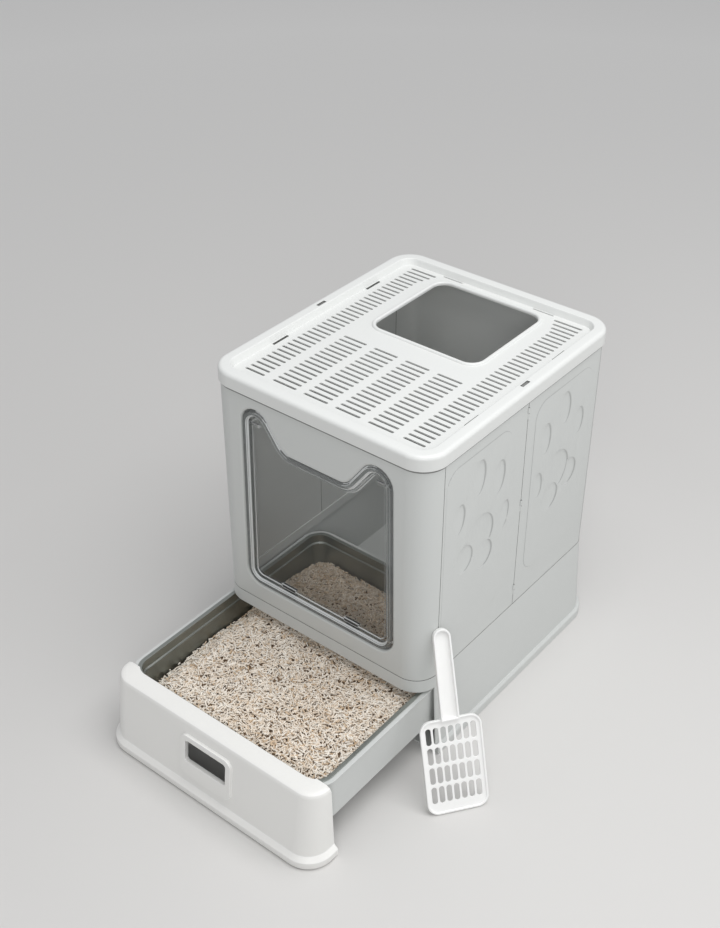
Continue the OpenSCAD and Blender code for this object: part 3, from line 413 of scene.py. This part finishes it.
hinges = {joint["name"]: joint["pos_m"] for joint in frame["joints"] if "pos_m" in joint}
seams = {                                       # the axis that crosses the seam, and the seam's place on it
    "front": (1, hinges["walls_fold"][1]),
    "fold": (1, hinges["left_mid_fold"][1]),
    "back": (1, hinges["left_back_fold"][1]),
    "base": (2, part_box("base_housing")[1][2]),
    "lid": (2, lidLow[2]),
}
rounding = {
    "merge": 0.00001, "steps": 2, "angle": 38, "smooth": 32,       # angles in degrees
    "seamReach": 0.0009,      # a rounded face this near a seam lies in it
    "outward": 0.2,           # how far a face on a sheet's outline turns away from the middle, as a cosine
}
# painted shade on the steep sides of the side walls' dents
dentShade = {
    "amount": 0.28,
    "flattest": 0.2, "steepest": 0.9,           # of a dent's side, as the sideways share of its normal
    "offSeam": 0.007,                           # no painted shade this near a seam, where the knuckles are
}


# The floor of a tray lifted, its upper part left as it is: the whole lift up to one height, none from
# the other height on.
def raiseFloor(mesh, raised):
    for vertex in mesh.vertices:
        share = (raised["none"] - vertex.co.z) / (raised["none"] - raised["whole"])
        vertex.co.z += raised["lift"] * min(max(share, 0), 1)


# Which faces lie in pits that are painted dark as shade, given on one side of the middle line and mirrored.
def inPits(middles, pits):
    inside = np.zeros(len(middles), dtype=bool)
    place = np.stack([np.abs(middles[:, 0]), middles[:, 1], middles[:, 2]], 1)
    for at, half in pits:
        inside |= (np.abs(place - np.array(at)) < np.array(half)).all(1)
    return inside


# Which faces lie in a seam or on a sheet's outline, where shade is painted on the rounded ones.
def inSeams(look, middles, normals):
    found = np.zeros(len(middles), dtype=bool)
    for name in look["seams"]:
        axis, place = seams[name]
        found |= np.abs(middles[:, axis] - place) < rounding["seamReach"]
    if look.get("outline"):                     # the edges that face away from the sheet's middle, painted dark as shade
        low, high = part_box(look["node"])
        away = middles - (np.array(low) + np.array(high)) / 2
        away[:, 1] = 0
        found |= (normals * away).sum(1) > rounding["outward"] * np.linalg.norm(away, axis=1)
    return found


def inDents(middles, normals):                  # the steep sides of a side wall's dents
    steep = np.abs(normals[:, 0])
    apart = [np.abs(middles[:, 1] - seams[name][1]) for name in ("front", "fold", "back")]
    offSeam = np.min(apart, axis=0) > dentShade["offSeam"]
    return (steep > dentShade["flattest"]) & (steep < dentShade["steepest"]) & offSeam


def roundEdges(piece, look):                    # the rounded faces take the second material slot
    bevel = piece.modifiers.new("edges", "BEVEL")
    bevel.width = look["edge"]
    bevel.segments = look.get("steps", rounding["steps"])
    bevel.limit_method = "ANGLE"
    bevel.angle_limit = math.radians(look.get("angle", rounding["angle"]))
    bevel.use_clamp_overlap = False
    bevel.loop_slide = False
    bevel.material = 1
    bpy.ops.object.modifier_apply(modifier="edges")


# A merged copy of a node, its edges rounded. The rounded faces carry the attribute edge. Those in a seam
# carry painted shade instead, and so do all faces in a pit and, less, those in a dent: shade painted where
# shadow falls.
def softCopy(look):
    mesh = nodes[look["node"]].data.copy()
    mesh.name = look["piece"]
    piece = newPiece(look["piece"], mesh)
    setSlot(piece, look["material"])
    mesh.materials.append(look["material"])     # a slot for the rounded faces, until they are marked
    bpy.ops.object.mode_set(mode="EDIT")
    bpy.ops.mesh.select_all(action="SELECT")
    bpy.ops.mesh.remove_doubles(threshold=rounding["merge"])
    bpy.ops.object.mode_set(mode="OBJECT")
    if "raised" in look:
        raiseFloor(mesh, look["raised"])
    roundEdges(piece, look)
    rounded = np.array([face.material_index == 1 for face in mesh.polygons])
    middles = faceRows(mesh, "center")
    normals = faceRows(mesh, "normal")
    seamed = inSeams(look, middles, normals)
    # painted shade: the rounded faces in a seam, the faces in a pit and, less, the steep sides of the dents
    paintedShade = np.maximum(rounded & seamed, inPits(middles, look.get("pits", ()))).astype(np.float32)
    if look.get("dents"):
        paintedShade = np.maximum(paintedShade, dentShade["amount"] * inDents(middles, normals))
    markFaces(mesh, "edge", rounded & ~seamed)
    markFaces(mesh, "seam", paintedShade)
    bpy.ops.object.shade_smooth_by_angle(angle=math.radians(rounding["smooth"]))
    weigh = piece.modifiers.new("weights", "WEIGHTED_NORMAL")
    weigh.keep_sharp = True
    bpy.ops.object.modifier_apply(modifier="weights")
    return finishPiece(piece, look["material"], look["body"], look["slot"], look["node"])


# Where shade is painted in, as it is dark inside: the grip notches and the latch slots of the lid, and the
# tray's front wall behind the handle slot.
rimNotch = {"in": 0.0120, "back": 0.0050, "down": 0.0014, "half": (0.0027, 0.0087, 0.0012)}
latchSlot = {"in": 0.0240, "fromFront": 0.1235, "fromBack": 0.1110, "down": 0.0110,
             "half": (0.0021, 0.0156, 0.0040)}
behindHandle = {"in": 0.0020, "level": 0.0850, "half": (0.1600, 0.0006, 0.0320)}
latchX, latchZ = lidHigh[0] - latchSlot["in"], lidHigh[2] - latchSlot["down"]
lidPits = [                                     # each one's place and half its size
    ((lidHigh[0] - rimNotch["in"], rimNotch["back"], lidHigh[2] - rimNotch["down"]), rimNotch["half"]),
    ((latchX, lidLow[1] + latchSlot["fromFront"], latchZ), latchSlot["half"]),
    ((latchX, lidHigh[1] - latchSlot["fromBack"], latchZ), latchSlot["half"]),
]
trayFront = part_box("drawer_frame")[0][1]
trayPits = [((0, trayFront + behindHandle["in"], behindHandle["level"]), behindHandle["half"])]
trayRaised = {"lift": 0.045, "whole": 0.012, "none": 0.090}      # the tray and the pan are shallower than
panRaised = {"lift": 0.030, "whole": 0.029, "none": 0.1055}      # their solids


# What softCopy is told of a piece: the node that it replaces, its own name, and how far its edges are
# rounded. More can be steps, angle, outline, dents, raised and pits.
def shell(node, piece, body, slot, material, edge, *seamNames, **more):
    return {"node": node, "piece": piece, "body": body, "slot": slot, "material": material, "edge": edge,
            "seams": seamNames, **more}


def grey(node, piece, body, edge, *seamNames, **more):
    return shell(node, piece, body, "housing_plastic", greyMaterial, edge, *seamNames, **more)


def sideWall(node, piece, body, *seamNames):
    return grey(node, piece, body, 0.0004, *seamNames, "base", angle=60, dents=True)


softened = [
    grey("base_housing", "baseShell", "housing", 0.0006, "base"),
    grey("front_panel", "frontPanel", "housing", 0.0004, "front", "base"),
    grey("back_panel", "backPanel", "back", 0.0005, "back", "base"),
    sideWall("left_front_side", "leftFrontWall", "left_front", "front", "fold"),
    sideWall("left_rear_side", "leftRearWall", "left_rear", "fold", "back"),
    sideWall("right_front_side", "rightFrontWall", "right_front", "front", "fold"),
    sideWall("right_rear_side", "rightRearWall", "right_rear", "fold", "back"),
    grey("drawer_frame", "drawerTray", "drawer", 0.0006, raised=trayRaised, pits=trayPits),
    shell("lid_shell", "lidCover", "lid", "white_plastic", whiteMaterial, 0.0004, "lid", pits=lidPits),
    shell("drawer_front", "drawerFace", "drawer", "white_plastic", warmMaterial, 0.0009),
    shell("scoop", "litterScoop", "scoop", "white_plastic", scoopMaterial, 0.0007),
    shell("litter_pan", "steelPan", "drawer", "pan_steel", panMaterial, 0.0004, raised=panRaised),
    shell("door_frame", "clearDoorFrame", "housing", "clear_plastic", frameMaterial, 0.0010, steps=3,
          outline=True),
    shell("door_flap", "smokedDoorFlap", "door", "smoked_plastic", flapMaterial, 0.0006, outline=True),
    shell("frame_magnets", "frameMagnetBars", "housing", "magnet", magnetMaterial, 0.0005),
    shell("flap_magnets", "flapMagnetBars", "door", "magnet", magnetMaterial, 0.0005),
]
for look in softened:
    made = softCopy(look)
    print("rounded:", made.name, len(made.data.polygons), "faces")

for name in ("left_corner_pins", "right_corner_pins", "left_fold_pins", "right_fold_pins", "left_back_pins",
             "right_back_pins", "door_pins", "front_screws"):
    setSlot(nodes[name], pinMaterial)
print("pins and screws dressed")


heap = {                      # in metres, the angles in degrees
    "seed": 4,
    "height": 0.080,          # of the top above the bed's foot
    "wallHeight": 0.052,      # at the left and back walls of the pan
    "freeLeft": 0.040,
    "freeBack": 0.042,
    "roll": 0.006,            # rise and fall of the top
    "waves": ((0.095, 20, 0), (0.140, 105, 140), (0.075, 65, 250)),      # length, direction, phase
    "sink": 0.0050,           # how far the dark bed, painted as shade between the pellets, lies under the top pellets
    "rings": 44,
    "bunching": 0.75,         # under 1, the rings lie closer together near the wall
    "around": 132,
    "smooth": 50,
}
pan = {"rim": 0.0048, "corner": 0.0215, "wall": 0.0034, "shoulder": 0.106, "draft": 0.122, "gap": 0.0006}
pellet = {
    "length": 0.0070, "spread": 0.0013, "shortest": 0.0034, "longest": 0.0110,
    "radius": 0.00112, "thinnest": 0.88, "thickest": 1.12,
    "sides": 6, "brokenEnd": 0.75, "smooth": 65, "pieces": 4,
    "margin": 0.003,          # kept free along the rim
    "lift": 0.35,             # rise or fall within a layer, in radii
    # each layer's height in radii, its count of pellets, and how far they dip
    "layers": ((-3.8, 5600, 9), (-2.3, 5600, 12), (-0.8, 5200, 15), (0.5, 3200, 18)),
}
tones = {
    "mix": (1.2, 3.8),        # of a beta draw: mostly pale, some tan
    "darkShare": 0.08,
    "dark": (0.8, 1.2),       # 1 is the skin's Tan
    "backTone": 0.4,          # painted shade: the litter is tinted browner under the cabin, where it lies in shade
    "backFrom": -0.24,
    "backOver": 0.1,
}

panLow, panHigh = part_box("litter_pan")
bedLow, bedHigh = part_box("litter_bed")
panMid = ((panLow[0] + panHigh[0]) / 2, (panLow[1] + panHigh[1]) / 2)
panHalf = ((panHigh[0] - panLow[0]) / 2 - pan["rim"], (panHigh[1] - panLow[1]) / 2 - pan["rim"])
bedHalf = ((bedHigh[0] - bedLow[0]) / 2, (bedHigh[1] - bedLow[1]) / 2)


def wallInset(z):                               # how far the pan's inner face lies inside its rim
    return pan["wall"] + pan["gap"] + np.clip(pan["shoulder"] - z, 0, 1) * pan["draft"]


# Height of the heap: rolling, and falling to the left wall and to the back wall.
def heapHeight(x, y):
    x, y = x - panMid[0], y - panMid[1]
    roll = 0
    for length, turn, phase in heap["waves"]:
        turn = math.radians(turn)
        roll = roll + np.sin(2 * math.pi * (x * math.cos(turn) + y * math.sin(turn)) / length
                             + math.radians(phase)) / len(heap["waves"])
    left = np.maximum(0, heap["freeLeft"] - x - bedHalf[0])
    back = np.maximum(0, heap["freeBack"] + y - bedHalf[1])
    fall = np.hypot(left, back) * (heap["height"] - heap["wallHeight"]) / heap["freeLeft"]
    return bedLow[2] + heap["height"] - heap["roll"] * (1 - roll) / 2 - fall


def roundedOutline(halfX, halfY, corner, count):  # a rectangle with round corners, about its middle
    tiny = 1e-9
    angles = np.linspace(0, 2 * math.pi, count, endpoint=False)
    c, s = np.cos(angles), np.sin(angles)
    reach = np.minimum(halfX / np.maximum(np.abs(c), tiny), halfY / np.maximum(np.abs(s), tiny))
    x, y = reach * c, reach * s
    overX, overY = np.abs(x) - (halfX - corner), np.abs(y) - (halfY - corner)
    size = np.hypot(np.maximum(overX, 0), np.maximum(overY, 0))
    pull = np.where((overX > 0) & (overY > 0) & (size > corner), corner / np.maximum(size, tiny), 1)
    x = np.where(pull < 1, np.sign(x) * (halfX - corner + overX * pull), x)
    y = np.where(pull < 1, np.sign(y) * (halfY - corner + overY * pull), y)
    return x, y


def ringPoints(outX, outY, share, z=None):      # one ring of the heap, kept inside the pan's wall
    x, y = panMid[0] + outX * share, panMid[1] + outY * share
    level = heapHeight(x, y) - heap["sink"] if z is None else np.full_like(x, z)
    inset = 1 - wallInset(level) / panHalf[0] * share
    x, y = panMid[0] + outX * share * inset, panMid[1] + outY * share * inset
    return list(zip(x.tolist(), y.tolist(), level.tolist()))


# The bed under the pellets, heaped like them and painted dark as the shade in the gaps between them.
def makeShadedBed():
    around, rings = heap["around"], heap["rings"]
    outX, outY = roundedOutline(panHalf[0], panHalf[1], pan["corner"], around)
    points = [(panMid[0], panMid[1], float(heapHeight(*panMid)) - heap["sink"])]
    for ring in range(1, rings + 1):
        points += ringPoints(outX, outY, (ring / rings) ** heap["bunching"])
    points += ringPoints(outX, outY, 1, bedLow[2] + panRaised["lift"])
    faces = [(0, 1 + i, 1 + (i + 1) % around) for i in range(around)]
    for ring in range(rings):
        a, b = 1 + ring * around, 1 + (ring + 1) * around
        faces += [(a + i, b + i, b + (i + 1) % around, a + (i + 1) % around) for i in range(around)]
    faces.append(tuple(reversed(range(1 + rings * around, 1 + (rings + 1) * around))))
    mesh = bpy.data.meshes.new("shadedLitterBed")
    mesh.from_pydata(points, [], faces)
    piece = newPiece("shadedLitterBed", mesh)
    bpy.ops.object.shade_smooth_by_angle(angle=math.radians(heap["smooth"]))
    return finishPiece(piece, bedShadeMaterial, "drawer", "litter", "litter_bed")


# One pellet: a short six-sided rod along X, of unit length and radius, drawn in at its broken end.
def makePelletShape():
    bpy.ops.object.select_all(action="DESELECT")
    bpy.ops.mesh.primitive_cylinder_add(vertices=pellet["sides"], radius=1, depth=1, location=(0, 0, 0),
                                        rotation=(0, math.radians(90), 0))
    rod = bpy.context.object
    bpy.ops.object.transform_apply(location=True, rotation=True, scale=True)
    bpy.ops.object.mode_set(mode="EDIT")
    bpy.ops.mesh.select_all(action="DESELECT")
    bpy.ops.object.mode_set(mode="OBJECT")
    for vertex in rod.data.vertices:
        vertex.select = vertex.co.x > 0
    bpy.ops.object.mode_set(mode="EDIT")
    bpy.ops.transform.resize(value=(1, pellet["brokenEnd"], pellet["brokenEnd"]), center_override=(0, 0, 0))
    bpy.ops.object.mode_set(mode="OBJECT")
    points = np.array([vertex.co[:] for vertex in rod.data.vertices])
    faces = [tuple(face.vertices) for face in rod.data.polygons]
    bpy.data.objects.remove(rod)
    return points, faces


def unitRows(rows):
    return rows / np.linalg.norm(rows, axis=1)[:, None]


def heapUp(x, y, z):                            # which way the heap's top faces
    step = 0.001
    slopes = [(z - heapHeight(x + step, y)) / step, (z - heapHeight(x, y + step)) / step, np.ones(len(x))]
    return unitRows(np.stack(slopes, 1))


# Which pellets lie within the pan's wall all along their length.
def insidePan(x, y, z, along, length):
    over = np.stack([np.abs(x - panMid[0]) - panHalf[0], np.abs(y - panMid[1]) - panHalf[1]], 1)
    over += pan["corner"]
    reach = np.hypot(*np.maximum(over, 0).T) + np.minimum(over.max(1), 0)
    outward = np.abs(along[:, :2]) * length[:, None] / 2
    room = wallInset(z) + np.where(over[:, 0] > over[:, 1], outward[:, 0], outward[:, 1])
    return reach < pan["corner"] - room - pellet["radius"]


# One layer of loose pellets: their places, their three axes, their sizes and tones.
def scatter(rng, height, count, dip):
    x = panMid[0] + rng.uniform(-1, 1, count) * (panHalf[0] - pellet["margin"])
    y = panMid[1] + rng.uniform(-1, 1, count) * (panHalf[1] - pellet["margin"])
    z = heapHeight(x, y)
    up = heapUp(x, y, z)
    length = rng.normal(pellet["length"], pellet["spread"], count).clip(pellet["shortest"], pellet["longest"])
    radius = pellet["radius"] * rng.uniform(pellet["thinnest"], pellet["thickest"], count)
    turn = rng.uniform(0, 2 * math.pi, count)
    along = np.stack([np.cos(turn), np.sin(turn), np.zeros(count)], 1)
    along = unitRows(along - up * (along * up).sum(1)[:, None])
    tilt = np.radians(rng.normal(0, dip, count))[:, None]
    along = unitRows(along * np.cos(tilt) + up * np.sin(tilt))
    side = unitRows(np.cross(up, along))
    axes = np.stack([along, side, np.cross(along, side)], 1)
    lift = (height + rng.uniform(-pellet["lift"], pellet["lift"], count)) * pellet["radius"]
    middle = np.stack([x, y, z], 1) + up * lift[:, None]
    tone = rng.beta(*tones["mix"], count)
    tone = np.where(rng.uniform(size=count) < tones["darkShare"], rng.uniform(*tones["dark"], count), tone)
    tone = tone + tones["backTone"] * np.clip((y - tones["backFrom"]) / tones["backOver"], 0, 1)
    keep = insidePan(x, y, middle[:, 2], along, length)
    rows = (middle, axes, np.stack([length, radius, radius], 1), tone)
    return [row[keep] for row in rows]


def pelletPiece(name, shape, faces, middle, axes, size, tone):
    count, each = len(middle), len(shape)
    points = middle[:, None, :] + np.einsum("nvi,nij->nvj", shape[None] * size[:, None, :], axes)
    corners = np.concatenate([np.array(face) for face in faces])
    loops = (corners[None, :] + (np.arange(count) * each)[:, None]).ravel()
    totals = np.tile([len(face) for face in faces], count)
    mesh = bpy.data.meshes.new(name)
    mesh.vertices.add(count * each)
    mesh.vertices.foreach_set("co", points.astype(np.float32).ravel())
    mesh.loops.add(len(loops))
    mesh.loops.foreach_set("vertex_index", loops.astype(np.int32))
    mesh.polygons.add(len(totals))
    mesh.polygons.foreach_set("loop_start", np.concatenate([[0], np.cumsum(totals)[:-1]]).astype(np.int32))
    mesh.polygons.foreach_set("loop_total", totals.astype(np.int32))
    mesh.update(calc_edges=True)
    markFaces(mesh, "tone", np.repeat(tone, len(faces)))
    piece = newPiece(name, mesh)
    bpy.ops.object.shade_smooth_by_angle(angle=math.radians(pellet["smooth"]))
    return finishPiece(piece, pelletMaterial, "drawer", "litter")


def makePellets():
    rng = np.random.default_rng(heap["seed"])
    shape, faces = makePelletShape()
    layers = [scatter(rng, *layer) for layer in pellet["layers"]]
    middle, axes, size, tone = [np.concatenate(rows) for rows in zip(*layers)]
    order = rng.permutation(len(middle))
    for number, part in enumerate(np.array_split(order, pellet["pieces"])):
        name = "litterPellets%d" % (number + 1)
        pelletPiece(name, shape, faces, middle[part], axes[part], size[part], tone[part])
    return len(middle)


makeShadedBed()
print("litter heaped:", makePellets(), "pellets")


stage = {
    "floorSize": 12.0, "floorRoughness": 0.55,
    "floorColour": (0.66, 0.65, 0.635, 1), "near": 0.7,      # up to this far from the middle
    "farColour": (0.93, 0.92, 0.90, 1), "far": 3.0,          # and from this far on
    "worldColour": (0.86, 0.87, 0.89, 1), "worldStrength": 0.53,
}
lamps = {
    "topSoft": {"at": (0.7, -0.1, 2.4), "aim": (0, -0.1, 0.3), "size": 1.6, "watts": 34},
    "frontSoft": {"at": (1.3, -1.9, 1.6), "aim": (0, -0.1, 0.3), "size": 0.7, "watts": 9},
    "rightSoft": {"at": (2.2, 0.5, 1.1), "aim": (0, 0, 0.25), "size": 1.2, "watts": 6},
}
camera = {"at": (0.9330, -1.2824, 1.4435), "azimuth": 38.8, "elevation": 35.4, "lens": 52.04, "sensor": 36}


def makeFloor():
    bpy.ops.object.select_all(action="DESELECT")
    bpy.ops.mesh.primitive_plane_add(size=stage["floorSize"], location=(0, 0, 0))
    floor = bpy.context.object
    floor.name = "floor"
    material, tree, shader = newMaterial("paleFloor")
    reach = addNode(tree, "ShaderNodeVectorMath", (-700, 200), operation="LENGTH")
    plug(reach.inputs[0], objectPlace(tree, (-900, 200)))
    away = spread(tree, (-500, 200), reach.outputs["Value"], stage["near"], stage["far"], 0.0, 1.0)
    feed(shader, Base_Color=mixColours(tree, (-300, 200), away, stage["floorColour"], stage["farColour"]),
         Roughness=stage["floorRoughness"])
    floor.data.materials.append(material)


def makeLight():
    world = bpy.data.worlds.new("paleRoom")
    world.use_nodes = True
    feed(world.node_tree.nodes["Background"], Color=stage["worldColour"], Strength=stage["worldStrength"])
    bpy.context.scene.world = world
    for name, lamp in lamps.items():
        bpy.ops.object.light_add(type="AREA", location=lamp["at"])
        light = bpy.context.object
        light.name = name
        light.data.size = lamp["size"]
        light.data.energy = lamp["watts"]
        aim = Vector(lamp["aim"]) - Vector(lamp["at"])
        light.rotation_euler = aim.to_track_quat("-Z", "Y").to_euler()


def makeCamera():
    bpy.ops.object.camera_add(location=camera["at"], rotation=(
        math.radians(90 - camera["elevation"]), 0, math.radians(camera["azimuth"])))
    eye = bpy.context.object
    eye.data.lens = camera["lens"]
    eye.data.sensor_width = camera["sensor"]
    eye.data.sensor_fit = "AUTO"
    bpy.context.scene.camera = eye
    bpy.context.scene.view_settings.view_transform = "Standard"


makeFloor()
makeLight()
makeCamera()
print("stage, lamps and camera placed")
